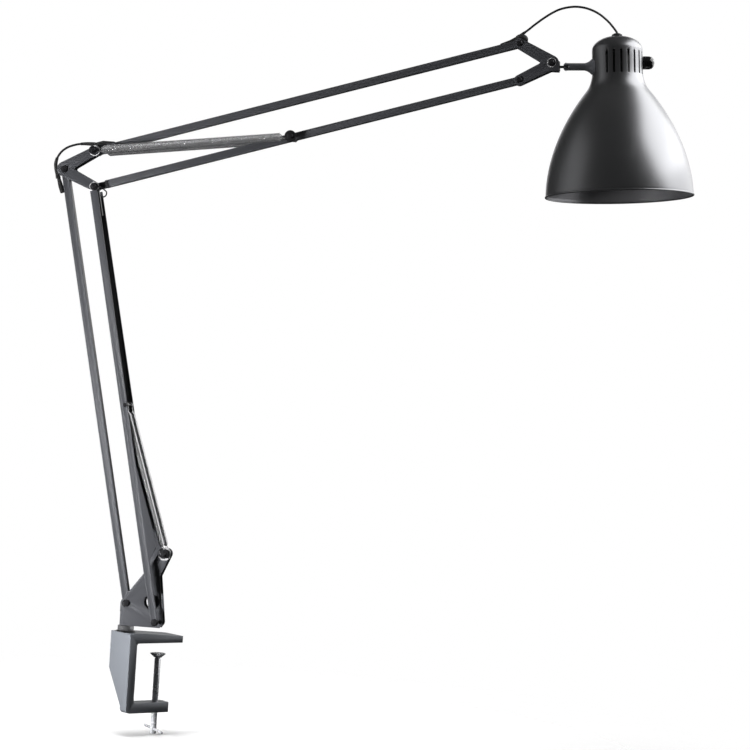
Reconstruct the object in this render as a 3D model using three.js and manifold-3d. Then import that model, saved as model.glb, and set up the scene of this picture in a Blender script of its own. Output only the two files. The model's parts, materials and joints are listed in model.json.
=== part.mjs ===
// Spring-balanced architect desk lamp on a table clamp. Millimetres, +Z up.
// The origin is on the underside of the clamp's top arm, straight above the clamp screw.
// The arms lie in an upright plane along +X, and the clamp is swivelled under them.
import * as THREE from 'three';
import { mergeVertices } from 'three/addons/utils/BufferGeometryUtils.js';
import Module from 'manifold-3d';

const wasm = await Module();
wasm.setup();

// ---- driving dimensions ----
const lowerLength = 503; // pivot to pivot
const lowerLean = 12.1; // degrees back from upright
const upperLength = 501; // pivot to pivot
const upperRise = 16.6; // degrees above level
const linkX = 37; // rear pivot to front pivot, level
const linkZ = -18.5; // rear pivot to front pivot, upright
const forkX = -2; // elbow and head: low pivot to high pivot, level
const forkZ = 41; // elbow and head: low pivot to high pivot, upright
const basePivotZ = 44; // rear pivot above the jaw face
const barSide = 8.4; // square tube
const barWall = 1;
const sheet = 1.2; // folded sheet thickness
const gap = 0.3; // clearance between touching pieces
const sideGap = 0.8; // from a bar to the plate beside it
const shaftRadius = 2; // pivot screws
const jawWidth = 40; // clamp casting, across
const jawReach = 46; // back of the clamp to its screw
const jawOpening = 68;
const jawTop = 11; // top arm thickness over the spigot
const jawTip = 7.3; // top arm thickness at its tip
const jawBottom = 11.5; // lower arm thickness
const spineThick = 10;
const spineFoot = 13; // width that the spine tapers down to
const tipReach = 29; // screw axis to the tip of the top arm
const lowerArmWidth = 20;
const lowerArmReach = 13.5; // screw axis to the end of the lower arm
const spigotInset = 8.5; // back of the clamp to the spigot axis
const spigotAcross = 13.5; // spigot axis behind the screw's plane
const clampTurn = 48; // degrees, clamp under the arms
const postRadius = 4.6;
const screwRadius = 3.5; // clamp screw
const padRadius = 8.8;
const padDrop = 12.5; // pad face below the jaw face
const channelTop = 12; // half width of the front channel at the elbow
const channelFoot = 17; // half width of the front channel at the base
const lowerSpringY = 9.3; // centre line of each lower spring from the arm's plane
const lowerSpringRadius = 3.2;
const lowerAnchor = 249.6; // front pivot to the upper anchor, along the channel
const leverX = 41.6; // lower anchor on the base bracket
const leverZ = 103.3;
const upperSpringY = 12;
const upperSpringRadius = 5.1;
const upperAnchor = 236; // elbow to the anchor, along the lower bar
const tiltX = 37.2; // head bracket: high pivot to tilt screw, level
const tiltZ = -20.2;
const headTilt = 4.4; // degrees, stem above level
const headSwivel = 14; // degrees, stem out of the arms' plane
const neckX = 15.4; // tilt screw to the neck pin, along the stem
const neckZ = -4.4;
const neckRadius = 2.4; // eye round the neck pin
const neckPinRadius = 0.9;
const neckReach = 58.4; // neck pin to the shade's axis
const capRadius = 28.2;
const shadeRadius = 82.5;
const shadeHeight = 180;
const shadeWall = 1.2;
const capHeight = 54;
const stemDrop = 34.6; // top of the shade to the stem's axis
const stemRadius = 4.15;
const slotCount = 7; // in each of two groups
const slotPitch = 16.6; // degrees
const slotWidth = 2.6;
const slotLength = 26;
const leadRadius = 1.25;
const bootLength = 20; // rubber boot where the lead leaves the lower bar
const bootLean = 0.12; // radians away from the bar

// ---- values that follow from them ----
const half = barSide / 2;
const plateInner = half + sideGap;
const plateOuter = plateInner + sheet;
const holeRadius = shaftRadius + gap;
const lowerAngle = 90 + lowerLean;

// ---- solids ----
function solid(geometry) {
  const bare = geometry.clone();
  bare.deleteAttribute('normal');
  bare.deleteAttribute('uv');
  const merged = mergeVertices(bare, 1e-4);
  const corners = merged.index.array;
  const kept = [];
  for (let i = 0; i < corners.length; i += 3) {
    const [a, b, c] = [corners[i], corners[i + 1], corners[i + 2]];
    if (a !== b && b !== c && c !== a) kept.push(a, b, c);
  }
  const vertProperties = new Float32Array(merged.attributes.position.array);
  return new wasm.Manifold(new wasm.Mesh({ numProp: 3, vertProperties, triVerts: new Uint32Array(kept) }));
}

function surface(body) {
  const mesh = body.getMesh();
  const geometry = new THREE.BufferGeometry();
  geometry.setAttribute('position', new THREE.BufferAttribute(new Float32Array(mesh.vertProperties), 3));
  geometry.setIndex(new THREE.BufferAttribute(new Uint32Array(mesh.triVerts), 1));
  geometry.computeVertexNormals();
  return geometry;
}

const join = (...bodies) => bodies.reduce((whole, body) => whole.add(body));
const cut = (body, ...tools) => tools.reduce((rest, tool) => rest.subtract(tool), body);

function box(x0, x1, y0, y1, z0, z1) {
  const geometry = new THREE.BoxGeometry(x1 - x0, y1 - y0, z1 - z0);
  return solid(geometry.translate((x0 + x1) / 2, (y0 + y1) / 2, (z0 + z1) / 2));
}

function pinY(x, z, y0, y1, radius, sides = 24) {
  return solid(new THREE.CylinderGeometry(radius, radius, y1 - y0, sides).translate(x, (y0 + y1) / 2, z));
}

function pinZ(x, y, z0, z1, radius, sides = 24) {
  const geometry = new THREE.CylinderGeometry(radius, radius, z1 - z0, sides).rotateX(Math.PI / 2);
  return solid(geometry.translate(x, y, (z0 + z1) / 2));
}

function pinX(y, z, x0, x1, radius, sides = 24) {
  const geometry = new THREE.CylinderGeometry(radius, radius, x1 - x0, sides).rotateZ(-Math.PI / 2);
  return solid(geometry.translate((x0 + x1) / 2, y, z));
}

// An outline in X and Z, from y0 to y1.
function plateY(outline, y0, y1) {
  const geometry = new THREE.ExtrudeGeometry(outline, { depth: y1 - y0, bevelEnabled: false, curveSegments: 8 });
  return solid(geometry.rotateX(Math.PI / 2).translate(0, y1, 0));
}

// An outline in X and Y, from z0 to z1.
function slabZ(outline, z0, z1) {
  const geometry = new THREE.ExtrudeGeometry(outline, { depth: z1 - z0, bevelEnabled: false, curveSegments: 8 });
  return solid(geometry.translate(0, 0, z0));
}

// A profile of [radius, height] pairs turned about Z, outer side upwards.
function turned(profile, sides = 32) {
  const points = profile.map(([radius, height]) => new THREE.Vector2(radius, height));
  return new THREE.LatheGeometry(points, sides).rotateX(Math.PI / 2);
}

function polygon(points) {
  return new THREE.Shape(points.map(([x, y]) => new THREE.Vector2(x, y)));
}

const material = (color, roughness, metalness) => new THREE.MeshStandardMaterial({ color, roughness, metalness });
const paint = () => material(0x4c4d51, 0.42, 0.55);
const castPaint = () => material(0x6b7077, 0.45, 0.45);
const zinc = () => material(0xb9bcc0, 0.28, 1);
const blackSteel = () => material(0x1a1a1c, 0.4, 0.7);
const rubber = () => material(0x0c0c0d, 0.6, 0);
const plastic = () => material(0x151517, 0.3, 0);

function place(group, name, body, finish) {
  const mesh = new THREE.Mesh(body.isBufferGeometry ? body : surface(body), finish);
  mesh.name = name;
  group.add(mesh);
  return mesh;
}

// A group at a point of its parent, its X turned up from level by an angle in degrees.
function frameAt(parent, x, z, angle = 0) {
  const group = new THREE.Group();
  group.position.set(x, 0, z);
  group.rotation.y = -THREE.MathUtils.degToRad(angle);
  parent.add(group);
  return group;
}

// A screw across the arms: washer and head in front, nut behind. Each side starts at the stated reach.
function pivotScrew(group, names, x, z, reach, headRadius, washerRadius = 0) {
  const washer = washerRadius ? sheet : 0;
  const head = [[0, -reach - gap - washer - 2.2], [headRadius * 0.7, -reach - gap - washer - 2.2],
    [headRadius, -reach - gap - washer - 1.4], [headRadius, -reach - gap - washer]];
  const shank = [[shaftRadius, -reach - gap], [shaftRadius, reach + gap + 3.4], [0, reach + gap + 3.4]];
  const flange = washer ? [[washerRadius, -reach - gap - washer], [washerRadius, -reach - gap]] : [];
  const screw = turned([...head, ...flange, ...shank], 20).rotateX(-Math.PI / 2);
  place(group, names[0], solid(screw.translate(x, 0, z)), blackSteel());
  const nut = cut(pinY(x, z, reach + gap, reach + gap + 2.8, 3.8, 6), pinY(x, z, 0, reach + 9, holeRadius));
  place(group, names[1], nut, blackSteel());
}

// Two circles' outer tangent and inner sides make a bent arm with lobes at both ends.
function bentArm(corner, ends, cornerRadius, endRadius, notchRadius) {
  const outline = new THREE.Shape();
  const [first, second] = ends; // counter-clockwise seen from the front, the notch between them
  const direction = (from, to) => new THREE.Vector2().subVectors(to, from).normalize();
  const left = (v) => new THREE.Vector2(-v.y, v.x);
  const u1 = direction(corner, first);
  const u2 = direction(corner, second);
  const slope1 = Math.asin((cornerRadius - endRadius) / corner.distanceTo(first));
  const slope2 = Math.asin((cornerRadius - endRadius) / corner.distanceTo(second));
  const out1 = left(u1).negate().rotateAround(new THREE.Vector2(), slope1);
  const out2 = left(u2).rotateAround(new THREE.Vector2(), -slope2);
  const in1 = left(u1);
  const in2 = left(u2).negate();
  const a = first.clone().addScaledVector(in1, endRadius);
  const b = second.clone().addScaledVector(in2, endRadius);
  const cross = u1.x * u2.y - u1.y * u2.x;
  const reach = ((b.x - a.x) * u2.y - (b.y - a.y) * u2.x) / cross;
  const notch = a.clone().addScaledVector(u1, reach);
  outline.absarc(corner.x, corner.y, cornerRadius, out2.angle(), out1.angle(), false);
  outline.absarc(first.x, first.y, endRadius, out1.angle(), in1.angle(), false);
  const before = notch.clone().addScaledVector(u1, notchRadius);
  const after = notch.clone().addScaledVector(u2, notchRadius);
  outline.lineTo(before.x, before.y);
  outline.quadraticCurveTo(notch.x, notch.y, after.x, after.y);
  outline.absarc(second.x, second.y, endRadius, in2.angle(), out2.angle(), false);
  return { outline, notch };
}

// ---- clamp: local +X is the jaw's direction, the origin is on the jaw face above the screw ----
function makeClampFrame(group) {
  const back = -jawReach;
  const inner = back + spineThick;
  const armTop = -jawOpening;
  const bottom = armTop - jawBottom;
  const near = -lowerArmWidth / 2;
  const far = near + jawWidth;
  const foot = near + spineFoot;
  const corner = 6;
  const fillet = 3;
  const side = new THREE.Shape();
  side.moveTo(back, jawTop);
  side.lineTo(back, bottom + corner);
  side.quadraticCurveTo(back, bottom, back + corner, bottom);
  side.lineTo(inner + fillet, bottom);
  side.lineTo(inner + fillet, armTop);
  side.quadraticCurveTo(inner, armTop, inner, armTop + fillet);
  side.lineTo(inner, -fillet);
  side.quadraticCurveTo(inner, 0, inner + fillet, 0);
  side.lineTo(tipReach, 0);
  side.lineTo(tipReach, jawTip);
  side.lineTo(back + spigotInset + 14, jawTop);
  const tip = new THREE.Shape();
  tip.moveTo(back - 1, near - 1);
  tip.lineTo(tipReach - 5, near - 1);
  tip.absarc(tipReach - 5, near + 5, 5, -Math.PI / 2, 0, false);
  tip.absarc(tipReach - 5, far - 5, 5, 0, Math.PI / 2, false);
  tip.lineTo(back - 1, far);
  const upright = plateY(side, near, far).intersect(slabZ(tip, bottom - 1, jawTop + 1));
  const taper = polygon([[far + 1, -31], [far, -31], [foot, armTop - 4], [foot, bottom - 1], [far + 1, bottom - 1]]);
  const farSide = solid(new THREE.ExtrudeGeometry(taper, { depth: jawReach + tipReach, bevelEnabled: false })
    .rotateX(Math.PI / 2).rotateZ(Math.PI / 2).translate(back - 5, 0, 0));
  const arm = polygon([[inner - 2, near], [lowerArmReach - 2, near], [lowerArmReach, near + 2],
    [lowerArmReach, -near - 2], [lowerArmReach - 2, -near], [inner + 16, -near], [inner - 2, foot]]);
  const bore = pinZ(back + spigotInset, spigotAcross, -24 - gap, jawTop + 1, postRadius + 1.2 + 3 * gap, 32);
  const thread = pinZ(0, 0, bottom - 1, armTop + 1, screwRadius + gap, 32);
  const casting = join(cut(upright, farSide), slabZ(arm, bottom, armTop));
  place(group, 'clamp_frame', cut(casting, bore, thread), castPaint());
}

function makeClamp(root) {
  const group = new THREE.Group();
  group.rotation.z = THREE.MathUtils.degToRad(clampTurn);
  root.add(group);
  makeClampFrame(group);
  const sleeve = postRadius + gap;
  const bush = turned([[sleeve, -24], [sleeve + 1.2, -24], [sleeve + 1.2, jawTop + gap],
    [11, jawTop + gap], [11, jawTop + 1.5], [sleeve, jawTop + 1.5], [sleeve, -24]], 40);
  place(group, 'clamp_bush', bush.translate(spigotInset - jawReach, spigotAcross, 0), plastic());
  const pad = turned([[0, -padDrop - 5], [screwRadius + 1, -padDrop - 5], [screwRadius + 1.6, -padDrop - 4],
    [padRadius, -padDrop - 1], [padRadius, -padDrop], [0, -padDrop]], 32);
  place(group, 'clamp_pad', pad, zinc());
  const screwTop = -padDrop - 5 - gap;
  const screwFoot = -105;
  const barZ = -99.5;
  const barRadius = 1.4;
  const shank = solid(turned([[0, screwFoot], [screwRadius * 0.7, screwFoot], [screwRadius, screwFoot + 1],
    [screwRadius, screwTop - 1], [screwRadius * 0.7, screwTop], [0, screwTop]], 24));
  const turn = THREE.MathUtils.degToRad(-105); // the bar as the screw happens to stand
  const cross = solid(new THREE.CylinderGeometry(barRadius + gap, barRadius + gap, 12, 20)
    .rotateZ(Math.PI / 2).rotateZ(turn).translate(0, 0, barZ));
  place(group, 'clamp_screw', cut(shank, cross), zinc());
  const bar = new THREE.CylinderGeometry(barRadius, barRadius, 60, 12).rotateZ(Math.PI / 2);
  place(group, 'tommy_bar', bar.rotateZ(turn).translate(0, 0, barZ), zinc());
}

// ---- base: bracket folded round the upright post ----
function makeBase(group) {
  const foot = jawTop + 1.5 + gap;
  const post = turned([[0, -22], [postRadius, -22], [postRadius, foot], [9.2, foot], [9.2, foot + 5.5],
    [postRadius - gap, foot + 5.5], [postRadius - gap, 33], [0, 33]], 32);
  place(group, 'base_post', post, zinc());
  const low = foot + 5.5 + gap;
  const foldTop = 34.5;
  const foldBack = 1.3; // centre of the fold behind the post's axis
  const pivot = 6.5;
  const lever = 6.5;
  const side = new THREE.Shape();
  side.moveTo(-foldBack, low);
  side.lineTo(linkX + 4, low);
  side.absarc(linkX, basePivotZ + linkZ, 7, -0.9, 0.2, false);
  side.lineTo(leverX - 4, leverZ - 26);
  side.absarc(leverX, leverZ, lever, -0.45, 2.25, false);
  side.lineTo(leverX - 15, leverZ - 13);
  side.absarc(0, basePivotZ, pivot, 2.25, Math.PI, false);
  side.lineTo(-pivot, foldTop);
  side.lineTo(-foldBack, foldTop);
  const hole = new THREE.Path();
  hole.absarc(30, basePivotZ + 3.5, 9.2, 0, Math.PI * 2, true);
  side.holes.push(hole);
  const fold = new THREE.Shape();
  fold.absarc(-foldBack, 0, plateOuter, Math.PI / 2, Math.PI * 1.5, false);
  fold.absarc(-foldBack, 0, plateInner, Math.PI * 1.5, Math.PI / 2, true);
  const shell = join(plateY(side, plateInner, plateOuter), plateY(side, -plateOuter, -plateInner),
    slabZ(fold, low, foldTop), box(-foldBack - 0.1, 0, plateInner, plateOuter, low, foldTop),
    box(-foldBack - 0.1, 0, -plateOuter, -plateInner, low, foldTop));
  const reach = 30;
  const holes = [[0, basePivotZ], [linkX, basePivotZ + linkZ], [leverX, leverZ]]
    .map(([x, z]) => pinY(x, z, -reach, reach, holeRadius));
  place(group, 'base_bracket', cut(shell, ...holes), paint());
  pivotScrew(group, ['base_pivot_screw', 'base_pivot_nut'], 0, basePivotZ, plateOuter, 4.1);
  pivotScrew(group, ['channel_pivot_screw', 'channel_pivot_nut'], linkX, basePivotZ + linkZ, channelFoot, 4);
  pivotScrew(group, ['lower_spring_screw', 'lower_spring_nut'], leverX, leverZ, lowerSpringY + 1.5, 3, 5.4);
}

// ---- arms ----
function squareTube(x0, x1) {
  const hollow = half - barWall;
  return cut(box(x0, x1, -half, half, -half, half), box(x0 - 1, x1 + 1, -hollow, hollow, -hollow, hollow));
}

function makeLowerBar(lamp) {
  const group = frameAt(lamp, 0, basePivotZ, lowerAngle);
  const end = 6;
  const leadDoor = lowerLength - 24;
  const across = barSide + 2;
  const bar = cut(squareTube(-end, lowerLength + end), pinY(0, 0, -across, across, holeRadius),
    pinY(lowerLength, 0, -across, across, holeRadius), pinZ(leadDoor, 0, 0, across, leadRadius + 1));
  place(group, 'lower_rear_bar', bar, paint());
  const plugHalf = half - barWall - gap;
  const gland = cut(box(-end - 1.5, -shaftRadius - 1.2, -plugHalf, plugHalf, -plugHalf, plugHalf),
    pinX(0, 0, -end - 4, 0, leadRadius + gap));
  place(group, 'lead_gland', gland, rubber());
  const lead = pinX(0, 0, shaftRadius + 2, leadDoor - 3, leadRadius, 8);
  place(group, 'lower_lead', lead, rubber());
  const boot = turned([[0, 0], [2.6, 0], [2.9, 8], [1.9, bootLength], [0, bootLength]], 16);
  boot.rotateY(Math.PI / 2 - bootLean).translate(leadDoor - 2, 0, half + 2.9 + gap);
  place(group, 'elbow_boot_lower', boot, rubber());
}

// Flange of the front channel: local X along the arm, Z to the rear, widened forward beside the springs.
function channelFlange(side) {
  const [earFoot, earCorner, earTop] = [70, 86, 180];
  const earWidth = 11.5;
  const topEnd = lowerLength - 5;
  const outline = new THREE.Shape();
  outline.absarc(0, 0, half, Math.PI / 2, Math.PI * 1.5, false);
  outline.lineTo(earFoot, -half);
  outline.lineTo(earCorner, -half - earWidth);
  outline.lineTo(earTop, -half);
  outline.lineTo(topEnd, -half);
  outline.lineTo(topEnd, half);
  const geometry = new THREE.ExtrudeGeometry(outline, { depth: sheet, bevelEnabled: false, curveSegments: 8 });
  geometry.rotateX(Math.PI / 2).translate(0, side > 0 ? sheet : 0, 0);
  geometry.translate(0, side > 0 ? -sheet : 0, 0);
  geometry.rotateZ(-side * Math.atan((channelFoot - channelTop) / lowerLength));
  return solid(geometry.translate(0, side * channelFoot + (side > 0 ? 0 : sheet), 0));
}

function makeChannel(lamp) {
  const group = frameAt(lamp, linkX, basePivotZ + linkZ, lowerAngle);
  const webFoot = 104; // the lever swings between the flanges below this
  const topEnd = lowerLength - 12; // clear of the elbow bracket's plates
  const widthAt = (s) => channelFoot + ((channelTop - channelFoot) * s) / lowerLength;
  const web = slabZ(polygon([[webFoot, -widthAt(webFoot) + 0.1], [topEnd, -widthAt(topEnd) + 0.1],
    [topEnd, widthAt(topEnd) - 0.1], [webFoot, widthAt(webFoot) - 0.1]]), half - sheet, half);
  const tongue = plateY(polygon([[lowerLength - 34, -half], [lowerLength, -half], [lowerLength, half],
    [lowerLength - 34, half]]), -half + 0.2, -gap);
  const tongueEnd = pinY(lowerLength, 0, -half + 0.2, -gap, half, 32);
  const anchor = { x: lowerAnchor, z: -1.5 };
  const body = cut(join(channelFlange(1), channelFlange(-1), web, tongue, tongueEnd),
    pinY(0, 0, -30, 30, holeRadius), pinY(lowerLength, 0, -30, 30, holeRadius),
    pinY(anchor.x, anchor.z, -30, 30, 1.5 + gap));
  place(group, 'lower_front_channel', body, paint());
  const width = widthAt(lowerAnchor);
  const pin = turned([[0, -width - 1.6], [2, -width - 1.6], [2.6, -width - gap], [1.5, -width - gap],
    [1.5, width + gap], [2.6, width + gap], [2, width + 1.6], [0, width + 1.6]], 20).rotateX(-Math.PI / 2);
  place(group, 'lower_spring_pin', solid(pin.translate(anchor.x, 0, anchor.z)), blackSteel());
}

// A spring from one anchor to the other: hook, coils and hook as one plain body of revolution.
function springBody(length, radius, hook) {
  const wire = 0.9;
  const profile = [[0, hook / 2], [wire, hook / 2], [wire, hook], [radius, hook + 1.5],
    [radius, length - hook - 1.5], [wire, length - hook], [wire, length - hook / 2], [0, length - hook / 2]];
  return turned(profile, 16).rotateY(Math.PI / 2);
}

function placeSprings(lamp, names, from, to, side, radius) {
  const length = from.distanceTo(to);
  const angle = THREE.MathUtils.radToDeg(Math.atan2(to.y - from.y, to.x - from.x));
  const group = frameAt(lamp, from.x, from.y, angle);
  for (const [name, y] of [[names[0], -side], [names[1], side]]) {
    place(group, name, springBody(length, radius, 8), zinc()).position.y = y;
  }
}

function along(point, angle, distance, offset = 0) {
  const a = THREE.MathUtils.degToRad(angle);
  return new THREE.Vector2(point.x + distance * Math.cos(a) - offset * Math.sin(a),
    point.y + distance * Math.sin(a) + offset * Math.cos(a));
}

const P1 = new THREE.Vector2(0, basePivotZ);
const P2 = new THREE.Vector2(linkX, basePivotZ + linkZ);
const A = along(P1, lowerAngle, lowerLength);
const B = along(P2, lowerAngle, lowerLength);
const C = new THREE.Vector2(B.x + forkX, B.y + forkZ);
const U = along(C, upperRise, upperLength);
const L = along(B, upperRise, upperLength);
const H = new THREE.Vector2(U.x + tiltX, U.y + tiltZ);
const S = along(B, upperRise, upperAnchor);
const K1 = along(P2, lowerAngle, lowerAnchor, -1.5);
const K2 = new THREE.Vector2(leverX, leverZ);

function twinPlates(shape, notch, facing) {
  const web = box(notch.x - 1.2 - (facing > 0 ? 1 : 0), notch.x + 1.2 - (facing > 0 ? 1 : 0),
    -plateOuter + 0.1, plateOuter - 0.1, notch.y - 5, notch.y + 5);
  return join(plateY(shape, plateInner, plateOuter), plateY(shape, -plateOuter, -plateInner),
    web.translate([-facing * 2.4, 0, 0]));
}

function makeElbow(lamp) {
  const { outline, notch } = bentArm(A, [B, C], 8.6, 5.3, 4);
  const holes = [A, B, C].map((p) => pinY(p.x, p.y, -30, 30, holeRadius));
  place(lamp, 'elbow_bracket', cut(twinPlates(outline, notch, 1), ...holes), paint());
  pivotScrew(lamp, ['elbow_rear_screw', 'elbow_rear_nut'], A.x, A.y, plateOuter, 3.9);
  pivotScrew(lamp, ['elbow_low_screw', 'elbow_low_nut'], B.x, B.y, plateOuter, 3, 4.6);
  pivotScrew(lamp, ['elbow_high_screw', 'elbow_high_nut'], C.x, C.y, upperSpringY + 1.5, 3.2, 5);
}

function makeUpperBars(lamp) {
  const top = frameAt(lamp, C.x, C.y, upperRise);
  const end = 5;
  const across = barSide + 2;
  const [doorIn, doorOut] = [22, upperLength - 24];
  const leadDoors = [doorIn, doorOut].map((x) => pinZ(x, 0, 0, across, leadRadius + 1));
  const topBar = cut(squareTube(-end, upperLength + end), pinY(0, 0, -across, across, holeRadius),
    pinY(upperLength, 0, -across, across, holeRadius), ...leadDoors);
  place(top, 'upper_top_bar', topBar, paint());
  place(top, 'upper_lead', pinX(0, 0, doorIn + 3, doorOut - 3, leadRadius, 8), rubber());
  const seat = half + gap;
  const rearBoot = polygon([[3, seat], [24, seat], [24, seat + 1], [11, seat + 5.2], [3, seat + 5.2]]);
  place(top, 'elbow_boot_upper', plateY(rearBoot, -2.6, 2.6), rubber());
  const tip = upperLength;
  const frontBoot = polygon([[tip - 22, seat], [tip + end + gap, seat], [tip + end + gap, 0], [tip + 8, -1],
    [tip + 9.6, 1.5], [tip + 9, 5], [tip + 6, 7.6], [tip + 2, 8.6], [tip - 4, 8.4], [tip - 10, 6.8],
    [tip - 21, seat + 1]]);
  place(top, 'head_boot', plateY(frontBoot, -2.6, 2.6), rubber());
  const bottom = frameAt(lamp, B.x, B.y, upperRise);
  const capEnd = 13;
  const bottomBar = cut(squareTube(capEnd + 4, upperLength + end),
    pinY(upperLength, 0, -across, across, holeRadius), pinY(upperAnchor, 0, -across, across, holeRadius));
  place(bottom, 'upper_bottom_bar', bottomBar, paint());
  const plug = half - barWall - gap;
  const cap = cut(join(box(capEnd, capEnd + 4 - gap, -half, half, -half, half),
    box(capEnd + 1, capEnd + 16, -plug, plug, -plug, plug),
    box(0, capEnd + 1, gap, half - 0.2, -half + 0.2, half - 0.2),
    pinY(0, 0, gap, half - 0.2, half - 0.2, 32)), pinY(0, 0, -5, 5, holeRadius));
  place(bottom, 'bar_end_cap', cap, plastic());
  pivotScrew(bottom, ['upper_spring_screw', 'upper_spring_nut'], upperAnchor, 0, upperSpringY + 1.5, 3.4, 6.8);
}

// ---- head bracket and the shade ----
function makeHeadBracket(lamp) {
  const { outline, notch } = bentArm(H, [U, L], 8, 5.6, 4);
  const lip = polygon([[H.x - 8, H.y - 9.2], [H.x + 8.6, H.y - 9.2], [H.x + 8.6, H.y + 1], [H.x - 6, H.y + 1]]);
  const plates = twinPlates(outline, notch, -1);
  const shell = join(plates, plateY(lip, plateInner, plateOuter), plateY(lip, -plateOuter, -plateInner));
  const holes = [U, L, H].map((p) => pinY(p.x, p.y, -30, 30, holeRadius));
  place(lamp, 'head_bracket', cut(shell, ...holes), paint());
  pivotScrew(lamp, ['head_high_screw', 'head_high_nut'], U.x, U.y, plateOuter, 3.4);
  pivotScrew(lamp, ['head_low_screw', 'head_low_nut'], L.x, L.y, plateOuter, 3.4);
  pivotScrew(lamp, ['tilt_screw', 'tilt_nut'], H.x, H.y, plateOuter, 3.2, 4.4);
}

function makeTongue(lamp) {
  const group = frameAt(lamp, H.x, H.y, headTilt);
  const tab = 1.1;
  const tongue = cut(join(pinY(0, 0, -half, half, 6, 32),
    box(0, neckX - stemRadius - 2.4, -half, half, neckZ - stemRadius, 1.5),
    box(neckX - stemRadius - 3, neckX, -neckRadius, neckRadius, neckZ - tab, neckZ + tab),
    pinZ(neckX, 0, neckZ - tab, neckZ + tab, neckRadius)),
  pinY(0, 0, -half - 1, half + 1, holeRadius), pinZ(neckX, 0, neckZ - 9, neckZ + 9, neckPinRadius + gap));
  place(group, 'head_tongue', tongue, plastic());
  return group;
}

// Outer side of the shade from the rim up to the top: [radius, depth below the top].
function shadeProfile() {
  const bell = new THREE.CubicBezierCurve(new THREE.Vector2(shadeRadius, -shadeHeight),
    new THREE.Vector2(shadeRadius - 0.7, -shadeHeight + 42), new THREE.Vector2(capRadius + 33.4, -capHeight - 37.5),
    new THREE.Vector2(capRadius + 0.4, -capHeight));
  const points = bell.getPoints(10).map((p) => [p.x, p.y]);
  const dome = 16;
  for (let i = 0; i <= 5; i += 1) {
    const a = (i / 5) * Math.PI * 0.44;
    points.push([capRadius * Math.cos(a), -dome + dome * Math.sin(a)]);
  }
  return points;
}

function makeShade(head) {
  const x = neckReach;
  const top = stemDrop;
  const outer = shadeProfile();
  const mouth = 3.6;
  const inner = outer.map(([radius, z]) => [Math.max(radius - shadeWall, mouth), z - (z > -16 ? shadeWall : 0)]);
  const crown = [[mouth, -0.1], [mouth, -shadeWall - 0.3]];
  const profile = [...outer, ...crown, ...inner.reverse(), outer[0]];
  let shell = solid(turned(profile, 48).translate(x, 0, top));
  const slotZ = top - 31.5;
  const slots = [];
  for (const middle of [-76, 104]) {
    for (let i = 0; i < slotCount; i += 1) {
      const turn = THREE.MathUtils.degToRad(middle + (i - (slotCount - 1) / 2) * slotPitch);
      const slot = new THREE.BoxGeometry(12, slotWidth, slotLength).translate(capRadius, 0, 0);
      slots.push(solid(slot.rotateZ(turn).translate(x, 0, slotZ)));
    }
  }
  const knobHole = pinX(0, top - 30, x + capRadius - 5, x + capRadius + 5, 3.2 + gap);
  const stemHole = pinX(0, 0, x - capRadius - 4, x - capRadius + 6, 3 + gap);
  shell = cut(shell, ...slots, knobHole, stemHole);
  place(head, 'shade_shell', shell, material(0x47484c, 0.35, 0.65));
}

function makeHead(tongue) {
  const head = new THREE.Group();
  head.position.set(neckX, 0, neckZ);
  head.rotation.z = THREE.MathUtils.degToRad(headSwivel);
  tongue.add(head);
  const x = neckReach;
  const top = stemDrop;
  makeShade(head);
  // The stem flares into the cap like a trumpet and is cut to the cap's round side.
  const seat = x - capRadius;
  const flare = [[0, -2.4], [stemRadius - 1.2, -2.4], [stemRadius, -1.2], [stemRadius, seat - 9],
    [stemRadius + 0.7, seat - 6.4], [stemRadius + 2.2, seat - 3.6], [stemRadius + 4.4, seat - 1.2],
    [stemRadius + 6.1, seat + 1.8], [stemRadius + 6.1, seat + 4], [0, seat + 4]];
  const trumpet = solid(turned(flare, 28).rotateY(Math.PI / 2));
  const tail = pinX(0, 0, seat - 3, seat + shadeWall + 3, 3, 20);
  const stem = join(cut(trumpet, pinZ(x, 0, -20, 20, capRadius + gap, 96)), tail);
  const slot = box(-4, neckRadius + 2 * gap, -9, 9, -1.1 - gap, 1.1 + gap);
  const pinHole = pinZ(0, 0, -9, 9, neckPinRadius + 0.1);
  place(head, 'head_stem', cut(stem, slot, pinHole), paint());
  const pinReach = stemRadius + 0.4;
  place(head, 'neck_pin', pinZ(0, 0, -pinReach, pinReach, neckPinRadius, 16), zinc());
  const socket = turned([[13.8, -62], [16.5, -62], [16.5, -19], [5.2, -17], [5.2, -2.2], [3.9, -2.2], [3.9, -22],
    [13.8, -24], [13.8, -62]], 28);
  place(head, 'lamp_holder', socket.translate(x, 0, top), plastic());
  const bulb = [[0, -137], [12, -134.4], [20, -129.5], [26, -121.5], [29, -110], [28.2, -99], [24, -87],
    [18, -76], [13.3, -62], [13.3, -30], [9, -27], [0, -27]];
  place(head, 'bulb', turned(bulb, 24).translate(x, 0, top), material(0xf3efe4, 0.3, 0));
  const ring = turned([[leadRadius + gap, -5], [3.3, -5], [3.3, 0.3], [6.1, 0.3], [5.6, 1.7], [3, 3],
    [leadRadius + gap, 3], [leadRadius + gap, -5]], 24);
  place(head, 'cord_grommet', ring.translate(x, 0, top), rubber());
  const switchZ = top - 30;
  const body = box(x + 17.2, x + 25.4, -7, 7, switchZ - 9, switchZ + 9);
  place(head, 'switch_body', body, plastic());
  const knobSeat = capRadius + 0.5;
  const knob = turned([[0, 25.7], [2.6, 25.7], [2.6, knobSeat], [7.4, knobSeat], [7.4, knobSeat + 7],
    [6.6, knobSeat + 10.2], [4.4, knobSeat + 12.4], [1.6, knobSeat + 13.3], [0, knobSeat + 13.3]], 28);
  place(head, 'switch_knob', knob.rotateY(Math.PI / 2).translate(x, 0, switchZ), plastic());
  return head;
}

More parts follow.
